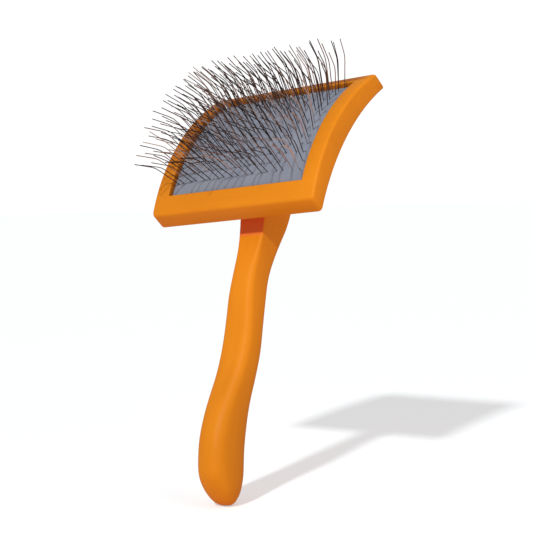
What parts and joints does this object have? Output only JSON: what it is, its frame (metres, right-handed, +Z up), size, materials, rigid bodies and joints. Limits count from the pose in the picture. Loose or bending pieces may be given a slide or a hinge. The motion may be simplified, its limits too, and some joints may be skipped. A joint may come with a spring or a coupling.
{
  "type": "slicker brush",
  "caption": "Pet slicker brush: bent wire pins on a padded, curved rectangular head, joined at its hollow back to an S-shaped handle with a rounded butt.",
  "frame": {"origin": "middle of the head's flat bottom end face", "axes": "+Z up along the handle from the butt to the head, +X along the head's long side, -Y where the pins point"},
  "size_m": [0.12, 0.0785, 0.2606],
  "materials": {
    "paint": "satin orange paint over hardwood",
    "pad_rubber": "matt grey-blue rubber face on cloth",
    "felt": "pressed felt",
    "pin_wire": "drawn steel wire, darkened",
    "zinc": "zinc plated"
  },
  "bodies": {
    "root": {"handle": "paint", "head_block": "paint", "pad_foundation": "pad_rubber", "pad_underlay": "felt", "neck_screw_1": "zinc", "neck_screw_2": "zinc", "pin_row_01": "pin_wire", "pin_row_02": "pin_wire", "pin_row_03": "pin_wire", "pin_row_04": "pin_wire", "pin_row_05": "pin_wire", "pin_row_06": "pin_wire", "pin_row_07": "pin_wire", "pin_row_08": "pin_wire", "pin_row_09": "pin_wire", "pin_row_10": "pin_wire", "pin_row_11": "pin_wire", "pin_row_12": "pin_wire", "pin_row_13": "pin_wire", "pin_row_14": "pin_wire"}
  },
  "joints": []
}
